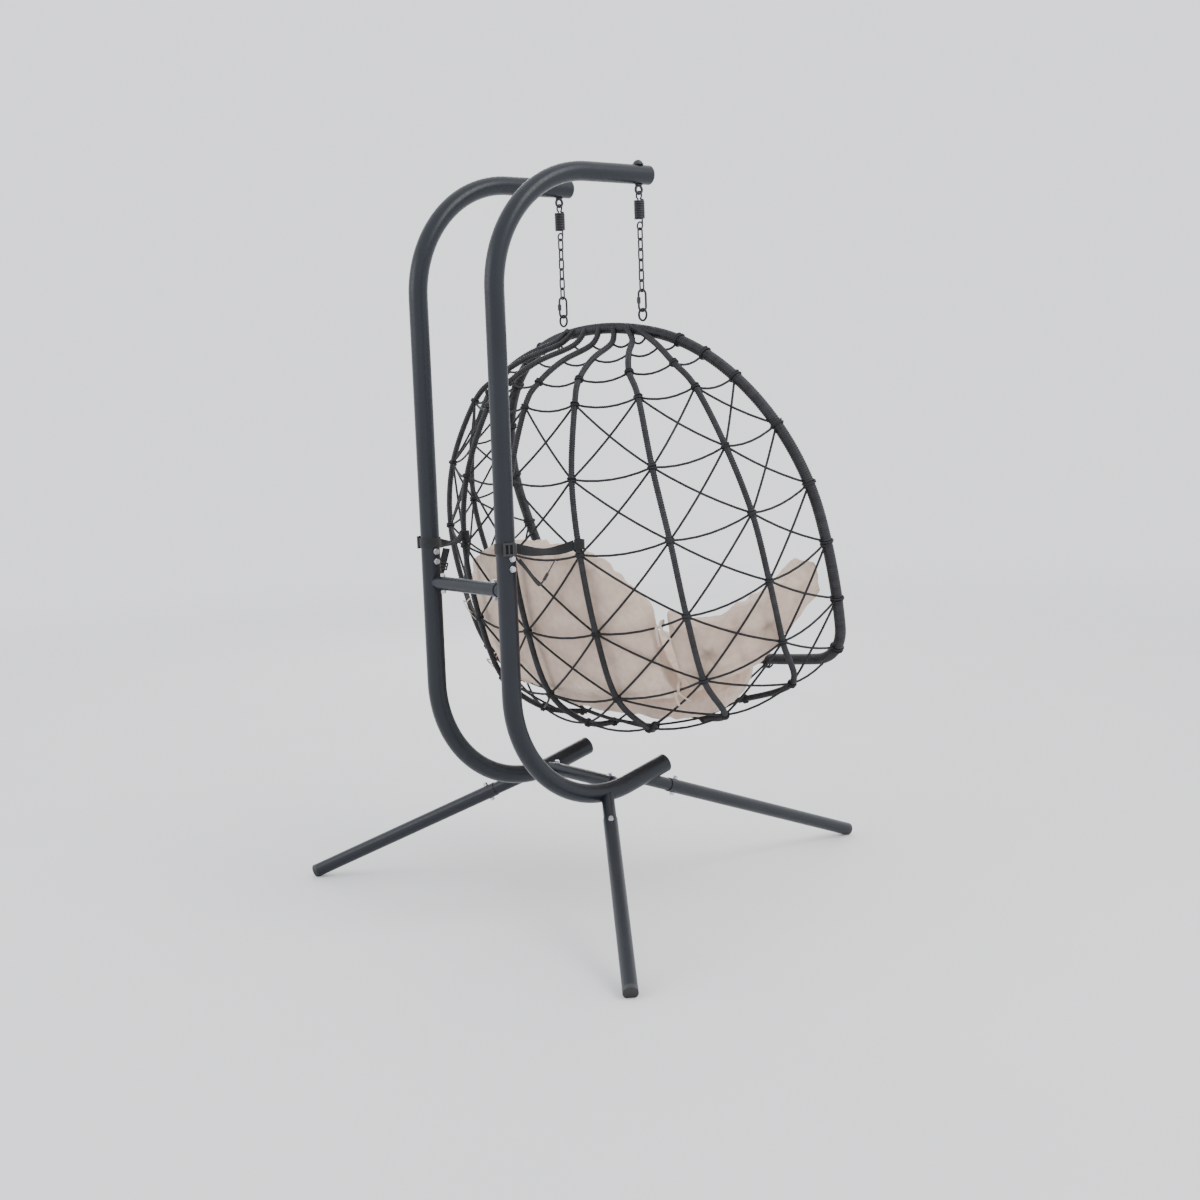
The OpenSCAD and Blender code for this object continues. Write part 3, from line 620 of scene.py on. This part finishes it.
def lashings(name, places, bar_radius, turns):
    """places is a list of (point, direction of the bar there)."""
    mesh = bpy.data.meshes.new(name)
    mesh.from_pydata([tuple(p) for p, _ in places], [], [])
    lie = mesh.attributes.new("lie", "FLOAT_VECTOR", "POINT")
    lie.data.foreach_set("vector", [c for _, d in places for c in d.normalized()])
    knots = built(name, mesh, LASHING, {"Bar Radius": bar_radius + ROPE_R * 0.5,
                                        "Rope Radius": ROPE_R * 0.85, "Turns": turns,
                                        "Finish": NET_ROPE})
    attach(knots, "basket")


rib_knots = []
for i in range(1, 8):
    line = rib_line(i)
    for t in range(2, len(LEVELS)):
        k = (t + 1) * RIB_STEPS
        rib_knots.append((line[k], line[k + 1] - line[k - 1]))
    rib_knots.append((line[-1] + (line[-3] - line[-1]) * 0.6, line[-1] - line[-3]))
lashings("rib_lashings", rib_knots, RIB_R, 2)
rim_knots = []
for side in (0, 8):
    for t in range(1, len(LEVELS)):
        p = knot_at(side, t)
        ahead = wall_at(RIB_TURN[side], min(t + 0.1, len(LEVELS) - 1))
        behind = wall_at(RIB_TURN[side], max(t - 0.1, 0))
        rim_knots.append((p, ahead - behind))
for end in ends[1:6]:
    rim_knots.append((rim_at(end.x, front_bar), Vector((1, 0, 0))))
lashings("rim_lashings", rim_knots, RIM_R, 2)


# ---------------------------------------------------------------- springs
SPRING_WIRE_R = 0.0023
HOOK_R = 0.010
UPPER_HOOK = 0.0213                    # height of the hook above the coil
LOWER_HOOK = 0.0271                    # height of the hook below it
COIL_TURNS = 11
TURN_STEPS = 20


def spring_wire(side):
    """One wire: a hook, the closed coil and the lower hook."""
    node = hand(side) + "_spring"
    low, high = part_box(node)
    centre = Vector(((low.x + high.x) / 2, (low.y + high.y) / 2, 0))
    wire, hook = SPRING_WIRE_R, HOOK_R
    coil = (high.x - low.x) / 2 - wire
    coil_top, coil_low = high.z - UPPER_HOOK, low.z + LOWER_HOOK
    line = []
    for k in range(21):
        a = math.radians(-70 + k * 15.5)
        line.append(centre + Vector((hook * math.cos(a), 0,
                                     high.z - wire - hook + hook * math.sin(a))))
    steps = COIL_TURNS * TURN_STEPS
    for k in range(steps + 1):
        a = math.radians(180 + k * 360 / TURN_STEPS)
        z = mix(coil_top - wire, coil_low + wire, k / steps)
        grow = min(1.0, k / 8, (steps - k) / 8)
        r = mix(hook, coil, grow)
        line.append(centre + Vector((r * math.cos(a), r * math.sin(a), z)))
    for k in range(25):
        a = math.radians(180 + k * 14)
        z = low.z + wire + hook + hook * math.sin(a)
        line.append(centre + Vector((hook * math.cos(a), 0, z)))
    wire_piece = built(node + "_wire", lines_mesh(node, [smooth_line(line, 2)]), LINE,
                       {"Radius": wire, "Depth": 0.0, "Pitch": 1.0, "Strands": 1.0,
                        "Step": 0.0016, "Sides": 10, "Finish": BLACK_WIRE})
    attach(wire_piece, node)
    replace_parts(wire_piece, node)


for side in (-1, 1):
    spring_wire(side)


# ---------------------------------------------------------------- cushions
BOWL = at(0, 0.620, 1.010)
INSET, PAD_T = 0.025, 0.088
CREASE = 39.5                          # angle where the back pad meets a side pad
CLOTH_GRID = 0.0075                    # spacing of the points of the cloth
ROUNDING_PASSES = 24
PRESSURE = 4.0
SWELL_LIMIT = 0.022
AGAINST_NET = 0.001
AT_EDGE = 0.008
TUFT_DEPTH, TUFT_SPREAD = 0.026, 0.055
FOLD_HEIGHT = 0.0045
SEAM_DEPTH, SEAM_WIDTH = 0.016, 0.013
RUMPLE, WRINKLE = 0.006, 0.0022


def soft_copy(node):
    """A rounded copy of a plain pad, remeshed evenly."""
    pad = link(bpy.data.objects.new(node + "_cloth", frame["nodes"][node].data.copy()))
    bm = bmesh.new()
    bm.from_mesh(pad.data)
    bmesh.ops.remove_doubles(bm, verts=bm.verts, dist=1e-5)
    bm.to_mesh(pad.data)
    bm.free()
    remesh = pad.modifiers.new("even", "REMESH")
    remesh.mode = "VOXEL"
    remesh.voxel_size = CLOTH_GRID
    rounding = pad.modifiers.new("rounding", "SMOOTH")
    rounding.factor = 0.7
    rounding.iterations = ROUNDING_PASSES
    graph = bpy.context.evaluated_depsgraph_get()
    mesh = bpy.data.meshes.new_from_object(pad.evaluated_get(graph), depsgraph=graph)
    pad.modifiers.clear()
    pad.data = mesh
    return pad


def coordinates(mesh):
    co = np.empty(len(mesh.vertices) * 3)
    mesh.vertices.foreach_get("co", co)
    return co.reshape(-1, 3)


def set_coordinates(mesh, co):
    mesh.vertices.foreach_set("co", co.ravel())
    mesh.update()


def inflate(pad):
    """Swell a pad with cloth, and hold each point near where it began."""
    before = coordinates(pad.data)
    scene.frame_set(1)
    cloth = pad.modifiers.new("swell", "CLOTH")
    cloth.settings.use_pressure = True
    cloth.settings.uniform_pressure_force = PRESSURE
    cloth.settings.mass = 0.3
    cloth.settings.tension_stiffness = 12
    cloth.settings.compression_stiffness = 12
    cloth.settings.bending_stiffness = 0.6
    cloth.settings.effector_weights.gravity = 0
    cloth.collision_settings.use_collision = False
    for number in range(1, 21):
        scene.frame_set(number)
    graph = bpy.context.evaluated_depsgraph_get()
    after = coordinates(pad.evaluated_get(graph).data)
    pad.modifiers.remove(cloth)
    scene.frame_set(1)
    shift = after - before
    size = np.linalg.norm(shift, axis=1, keepdims=True)
    kept = np.minimum(1, SWELL_LIMIT / np.maximum(size, 1e-9))
    set_coordinates(pad.data, before + shift * kept)


def press_flat(pad, node):
    """Press the cloth back where it stands out of its plain pad: against the net it lies
    flat, elsewhere it may stand out a little."""
    bm = bmesh.new()
    bm.from_mesh(frame["nodes"][node].data)
    bmesh.ops.remove_doubles(bm, verts=bm.verts, dist=1e-5)
    bmesh.ops.recalc_face_normals(bm, faces=bm.faces)
    plain = BVHTree.FromBMesh(bm)
    bm.free()
    for vertex in pad.data.vertices:
        place, normal, _, far = plain.find_nearest(vertex.co)
        away = vertex.co - place
        if away.dot(normal) <= 0:
            continue
        outward = (vertex.co - BOWL).normalized()
        room = AGAINST_NET if normal.dot(outward) > 0.6 else AT_EDGE
        if far > room:
            vertex.co = place + away * (room / far)
    pad.data.update()


def gather(pad, tufts, seams):
    """Pull the cloth in at tufts and along seams, with folds running out from each, and store the
    painted shade for these creases.
    """
    mesh = pad.data
    co = coordinates(mesh)
    normal = np.empty(len(mesh.vertices) * 3)
    mesh.vertices.foreach_get("normal", normal)
    normal = normal.reshape(-1, 3)
    pull = np.zeros(len(co))
    fold = np.zeros(len(co))
    for n, (p, d) in enumerate(tufts):
        away = co - np.array(p)
        far = np.linalg.norm(away, axis=1)
        near = np.exp(-(far / (TUFT_SPREAD * 0.42)) ** 2)
        pull += TUFT_DEPTH * near
        u = np.cross(np.array(d), [0.31, 0.2, 0.9])
        u /= np.linalg.norm(u)
        v = np.cross(np.array(d), u)
        angle = np.arctan2(away @ v, away @ u)
        ridge = np.cos(angle * (5 + n % 3) + n * 1.7)
        fold += ridge * FOLD_HEIGHT * np.exp(-((far - TUFT_SPREAD * 0.7)
                                               / (TUFT_SPREAD * 0.6)) ** 2)
    for line in seams:
        pts = np.array([tuple(p) for p in line])
        far = np.full(len(co), 1e9)
        for a, b in zip(pts[:-1], pts[1:]):
            ab = b - a
            t = np.clip(((co - a) @ ab) / (ab @ ab), 0, 1)
            far = np.minimum(far, np.linalg.norm(co - (a + t[:, None] * ab), axis=1))
        pull += SEAM_DEPTH * np.exp(-(far / SEAM_WIDTH) ** 2)
    slack = np.array([noise.noise(Vector(p) * 7.0) * RUMPLE
                      + noise.noise(Vector(p) * 19.0) * WRINKLE for p in co])
    set_coordinates(mesh, co - normal * (pull - fold - slack)[:, None])
    # Painted shade for the cloth's colour: strongest where the cloth is pulled in, and less on the
    # ridges of the folds.
    crease = mesh.attributes.new("crease", "FLOAT", "POINT")
    crease.data.foreach_set("value", np.clip(pull / 0.03 - fold * 30, 0, 0.75))


def cushion(node, tufts, seams):
    pad = soft_copy(node)
    inflate(pad)
    gather(pad, tufts, seams)
    press_flat(pad, node)
    pad.data.materials.clear()
    pad.data.materials.append(BEIGE_CLOTH)
    pad.data.polygons.foreach_set("use_smooth", [True] * len(pad.data.polygons))
    finer = pad.modifiers.new("finer", "SUBSURF")
    finer.levels = finer.render_levels = 1
    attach(pad, "basket")
    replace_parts(pad, node)


def pad_point(a, t, depth):
    """A place in a pad, depth in from the face that lies on the net."""
    p = wall_at(a, t)
    return p + (BOWL - p).normalized() * (INSET + depth)


def pad_tufts(places):
    """Tufts show on both faces of a pad: (angle, level) each."""
    out = []
    for a, t in places:
        inner, outer = pad_point(a, t, PAD_T), pad_point(a, t, 0)
        d = (inner - outer).normalized()
        out += [(inner + d * 0.008, d), (outer - d * 0.004, d)]
    return out


def across_pad(a, low, high, depth):
    """A seam up the face of a pad, between two levels."""
    return [pad_point(a, mix(low, high, k / 8), depth) for k in range(9)]


cushion("back_cushion", pad_tufts([(a, t) for a in (-22, 0, 22) for t in (5.6, 6.5)]),
        [across_pad(a, 4.9, 7.4, d) for a in (-11, 11) for d in (0, PAD_T)])
for side in (-1, 1):
    name = hand(side) + "_side_cushion"
    turn = -side
    cushion(name, pad_tufts([(turn * 50, 6.8), (turn * 70, 6.8)]),
            [across_pad(turn * 60, 6.0, 7.2, d) for d in (0, PAD_T)])
seat_low, seat_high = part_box("seat_cushion")
seat_mid = (seat_low + seat_high) / 2
SEAT_LEAN = math.radians(26)
up = Vector((0, math.sin(SEAT_LEAN), math.cos(SEAT_LEAN)))
ahead = Vector((0, -math.cos(SEAT_LEAN), math.sin(SEAT_LEAN)))
seat_tufts = [(seat_mid + Vector((x, 0, 0)) + ahead * y + up * 0.050, up)
              for x in (-0.24, 0, 0.24) for y in (-0.07, 0.07)]
cushion("seat_cushion", seat_tufts, [])


# ---------------------------------------------------------------- straps

def ribbon(name, line, wide, width=0.025, thick=0.002, cloth=None):
    """Flat webbing along a line; wide is the direction across it, or one for each point."""
    bm = bmesh.new()
    rings = []
    for i, p in enumerate(line):
        t = (line[min(i + 1, len(line) - 1)] - line[max(i - 1, 0)]).normalized()
        w = wide[i] if isinstance(wide, list) else wide
        w = (w - t * w.dot(t)).normalized()
        n = t.cross(w)
        ring = []
        for x, y in ((-1, -0.6), (-0.9, -1), (0.9, -1), (1, -0.6), (1, 0.6), (0.9, 1), (-0.9, 1),
                     (-1, 0.6)):
            ring.append(bm.verts.new(p + w * x * width / 2 + n * y * thick / 2))
        rings.append(ring)
    for a, b in zip(rings, rings[1:]):
        for k in range(8):
            bm.faces.new((a[k], a[(k + 1) % 8], b[(k + 1) % 8], b[k]))
    bm.faces.new(rings[0])
    bm.faces.new(list(reversed(rings[-1])))
    bmesh.ops.recalc_face_normals(bm, faces=bm.faces)
    mesh = bpy.data.meshes.new(name)
    bm.to_mesh(mesh)
    bm.free()
    mesh.materials.append(cloth or WEBBING)
    piece = link(bpy.data.objects.new(name, mesh))
    return piece


TIE_WIDE, TIE_END_WIDE, TIE_THICK = 0.008, 0.007, 0.0012
STRAP_SAG = 0.014
STRAP_STEPS = 30


def cushion_tie(side, level):
    """Tape from the crease of the cushion round the net's rope, with two short ends."""
    one, two = (2, 3) if side < 0 else (6, 5)
    t = (RIB_TURN[2] - CREASE) / (RIB_TURN[2] - RIB_TURN[3])
    a, b = knot_at(one, level), knot_at(two, level)
    place = mix(a, b, t) - Vector((0, 0, SAG * 4 * t * (1 - t)))
    along = (b - a).normalized()
    outward = (place - BOWL).normalized()
    outward = (outward - along * outward.dot(along)).normalized()
    above = along.cross(outward)
    above = above if above.z > 0 else -above
    name = f"{hand(side)}_cushion_tie_{level}"
    ring = [place - outward * (0.010 - 0.0165 * math.cos(k * math.tau / 24))
            + above * 0.006 * math.sin(k * math.tau / 24) for k in range(25)]
    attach(ribbon(name + "_loop", ring, along, TIE_WIDE, TIE_THICK, TIE_CLOTH), "basket")
    for n, (lean, drop) in enumerate(((0.014, 0.052), (-0.010, 0.041))):
        end = [place + outward * 0.0075 + above * 0.003,
               place + outward * 0.014 + above * 0.008 + along * lean * 0.4,
               place + outward * 0.015 - above * drop * 0.4 + along * lean,
               place + outward * 0.010 - above * drop + along * lean * 1.6]
        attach(ribbon(f"{name}_end_{n + 1}", smooth_line(end, 6), along, TIE_END_WIDE,
                       TIE_THICK, TIE_CLOTH), "basket")


def slide_lock(name, place, along, lay):
    """Small moulded slide with three bars, threaded on webbing."""
    w = (lay - along * lay.dot(along)).normalized()
    n = along.cross(w)
    turn = Matrix((along, w, n)).transposed().to_4x4()
    bm = bmesh.new()
    bars = [((x, 0, 0), (0.0035, 0.028, 0.0045)) for x in (-0.009, 0, 0.009)]
    bars += [((0, y, 0), (0.0215, 0.0035, 0.0055)) for y in (-0.0135, 0.0135)]
    for centre, size in bars:
        made = bmesh.ops.create_cube(bm, size=1)["verts"]
        bmesh.ops.scale(bm, vec=size, verts=made)
        bmesh.ops.translate(bm, vec=centre, verts=made)
    bmesh.ops.bevel(bm, geom=list(bm.edges), offset=0.0007, segments=2, affect="EDGES")
    bmesh.ops.transform(bm, matrix=Matrix.Translation(place) @ turn, verts=bm.verts)
    bmesh.ops.recalc_face_normals(bm, faces=bm.faces)
    mesh = bpy.data.meshes.new(name)
    bm.to_mesh(mesh)
    bm.free()
    mesh.materials.append(BLACK_PLASTIC)
    piece = link(bpy.data.objects.new(name, mesh))
    return piece


def strap(side):
    """Webbing from a post to a rib: a loop round each, the run between, a loose tail."""
    label = hand(side)
    low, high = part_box(label + "_strap")
    z = (low.z + high.z) / 2
    post = Vector((side * POST_X, POST_Y, z))
    rib_index = 3 if side < 0 else 5
    rib = wall_at(RIB_TURN[rib_index], 4.93)
    rib.z = z
    wide = Vector((0, 0, 1))
    out = Vector((rib.x - post.x, rib.y - post.y, 0)).normalized()
    aside = side * Vector((-out.y, out.x, 0))
    lie = math.atan2(out.y, out.x)
    r_post, r_rib = POST_R + 0.0016, RIB_R + 0.0042
    loop = [post + Vector((math.cos(a), math.sin(a), 0)) * (r_post + 0.0012 * k / 40)
            for k, a in ((k, lie + math.radians(6 + k * 8.8)) for k in range(41))]
    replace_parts(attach(ribbon(label + "_strap_round_post", loop, wide), "stand"),
                label + "_strap")
    turn = [rib + Vector((math.cos(a), math.sin(a), 0)) * r_rib
            for a in (lie + math.radians(8 + k * 8.6) for k in range(41))]
    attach(ribbon(label + "_strap_round_rib", turn, wide), "basket")
    a, b = post + out * (r_post - 0.0004), rib - out * (r_rib - 0.0006)
    run = sagging(a, b, STRAP_SAG, STRAP_STEPS + 1)
    twist = [Matrix.Rotation(side * 0.9 * math.sin(math.pi * k / STRAP_STEPS) ** 2, 3, out)
             @ wide for k in range(STRAP_STEPS + 1)]
    cuts = ((0, 15, "stand", "right_spring"), (15, 22, "right_spring", "right_chain"),
            (22, 30, "right_chain", "basket"))
    for n, (i, j, one, two) in enumerate(cuts):
        piece = ribbon(f"{label}_strap_run_{n + 1}", run[i:j + 1], twist[i:j + 1])
        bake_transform(piece)
    down = Vector((0, 0, -1))
    # The tail: share of the way to the rib, drop below the run, distance aside.
    hang = [(0.03, 0.028, 0.012), (0.16, 0.056, 0.018), (0.31, 0.088, 0.021),
            (0.38, 0.090, 0.021), (0.50, 0.064, 0.021), (0.64, 0.030, 0.021)]
    tail = smooth_line([mix(a, b, t) + down * z + aside * y for t, z, y in hang], 6)
    lay = Vector((0, 0, 0.6)) + aside
    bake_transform(ribbon(label + "_strap_tail", tail, lay, 0.020))
    # The slide is threaded on the half of the tail that rises again.
    lock = slide_lock(label + "_strap_slide", tail[22], (tail[24] - tail[20]).normalized(), lay)
    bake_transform(lock)


for side in (-1, 1):
    strap(side)
    for level in (6, 7):
        cushion_tie(side, level)


# ---------------------------------------------------------------- camera, floor and light

def aim_camera():
    data = bpy.data.cameras.new("view")
    data.sensor_width = 36
    data.lens = 50.325
    camera = link(bpy.data.objects.new("view", data))
    yaw, pitch, roll = 2.449, -0.129, -0.036
    ahead = Vector((-math.cos(pitch) * math.cos(yaw), -math.cos(pitch) * math.sin(yaw),
                    math.sin(pitch)))
    right = ahead.cross(Vector((0, 0, 1))).normalized()
    above = right.cross(ahead)
    c, s = math.cos(roll), math.sin(roll)
    right, above = right * c + above * s, above * c - right * s
    turn = Matrix((right, above, -ahead)).transposed().to_4x4()
    camera.matrix_world = Matrix.Translation(at(-3.511, -2.476, 1.399)) @ turn
    scene.camera = camera


def soft_light(name, place, target, size, power, colour=(1, 1, 1)):
    data = bpy.data.lights.new(name, "AREA")
    data.shape = "RECTANGLE"
    data.size, data.size_y = size
    data.energy = power
    data.color = colour
    lamp = link(bpy.data.objects.new(name, data))
    lamp.location = place
    lamp.rotation_euler = (Vector(target) - Vector(place)).to_track_quat("-Z", "Y").to_euler()


SKY = (0.93, 0.95, 0.98, 1)
SKY_POWER = 1.6


def studio():
    bpy.ops.mesh.primitive_plane_add(size=60, location=(0, 0, 0))
    floor = bpy.context.object
    floor.name = "floor"
    mat, tree, shader = material("pale_floor")
    place = add(tree, "ShaderNodeTexCoord").outputs["Object"]
    cloud = add(tree, "ShaderNodeTexNoise", {"Vector": place, "Scale": 1.5, "Detail": 4.0})
    tone = add(tree, "ShaderNodeMix", {"Factor": cloud.outputs["Fac"],
                                       "A": (0.76, 0.76, 0.76, 1), "B": (0.80, 0.80, 0.80, 1)},
               data_type="RGBA")
    # Far from the chair the floor turns into the colour of the sky, so no edge shows.
    far = add(tree, "ShaderNodeVectorMath", {0: place}, operation="LENGTH")
    fade = add(tree, "ShaderNodeMapRange", {"Value": far.outputs["Value"], "From Min": 2.5,
                                            "From Max": 9.0}, interpolation_type="SMOOTHSTEP")
    near = add(tree, "ShaderNodeMix", {"Factor": fade.outputs["Result"],
                                       "A": tone.outputs["Result"], "B": (0, 0, 0, 1)},
               data_type="RGBA")
    glow = add(tree, "ShaderNodeMix", {"Factor": fade.outputs["Result"], "A": (0, 0, 0, 1),
                                       "B": SKY}, data_type="RGBA")
    tree.links.new(near.outputs["Result"], shader.inputs["Base Color"])
    tree.links.new(glow.outputs["Result"], shader.inputs["Emission Color"])
    shader.inputs["Emission Strength"].default_value = SKY_POWER
    shader.inputs["Roughness"].default_value = 0.9
    shader.inputs["Specular IOR Level"].default_value = 0.0
    floor.data.materials.append(mat)
    world = bpy.data.worlds.new("studio")
    world.use_nodes = True
    world.node_tree.nodes["Background"].inputs["Color"].default_value = SKY
    world.node_tree.nodes["Background"].inputs["Strength"].default_value = SKY_POWER
    scene.world = world
    soft_light("key", (-3.5, -1.0, 4.5), (0, 0, 0.9), (2.4, 2.4), 110)
    soft_light("fill", (1.5, 4.5, 2.8), (0, 0, 0.9), (3.0, 2.0), 60, (0.93, 0.96, 1.0))
    soft_light("edge", (4.0, -2.5, 3.0), (0, 0, 1.0), (1.2, 3.0), 60)


aim_camera()
studio()
